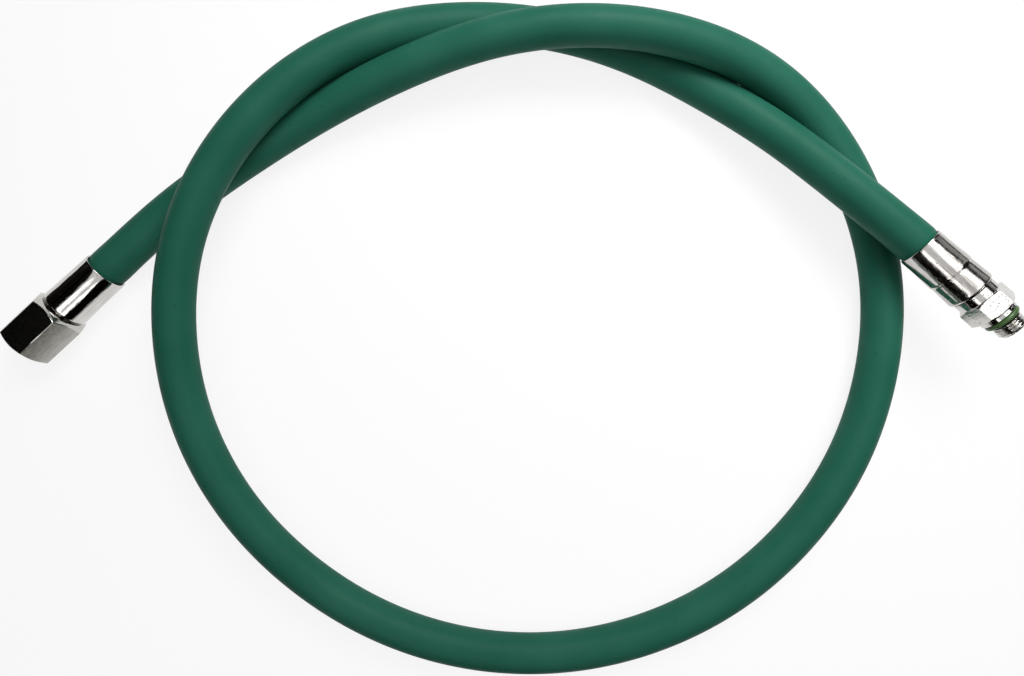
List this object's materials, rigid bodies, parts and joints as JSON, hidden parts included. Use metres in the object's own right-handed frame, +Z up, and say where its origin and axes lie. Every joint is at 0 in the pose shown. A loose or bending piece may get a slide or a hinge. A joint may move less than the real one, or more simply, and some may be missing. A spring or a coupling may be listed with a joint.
{
  "type": "regulator hose",
  "caption": "Low pressure breathing hose of green rubber with chromed ferrules, a fixed male fitting and a swivelling hexagon nut, lying in a loose loop.",
  "frame": {"origin": "centre of the bounding box, on the surface that the hose lies on", "axes": "+Z up; the female fitting's axis is level and points along -X out of the swivel nut; +Y completes the frame"},
  "size_m": [0.2647, 0.253, 0.0355],
  "materials": {
    "green_rubber": "satin",
    "ferrule_chrome": "polished",
    "fitting_chrome": "polished",
    "nut_chrome": "polished",
    "seal_rubber": "satin"
  },
  "bodies": {
    "hose_body": {"hose": "green_rubber", "male_ferrule": "ferrule_chrome", "male_stem": "fitting_chrome", "male_o_ring": "seal_rubber", "female_ferrule": "ferrule_chrome", "female_stem": "fitting_chrome", "nose_o_ring": "seal_rubber"},
    "nut_body": {"swivel_nut": "nut_chrome"}
  },
  "joints": [
    {"name": "nut_swivel", "type": "hinge", "parent": "hose_body", "child": "nut_body", "pos_m": [-0.1236, 0.1162, 0.00873], "axis": [-1, 0, 0], "continuous": true}
  ]
}
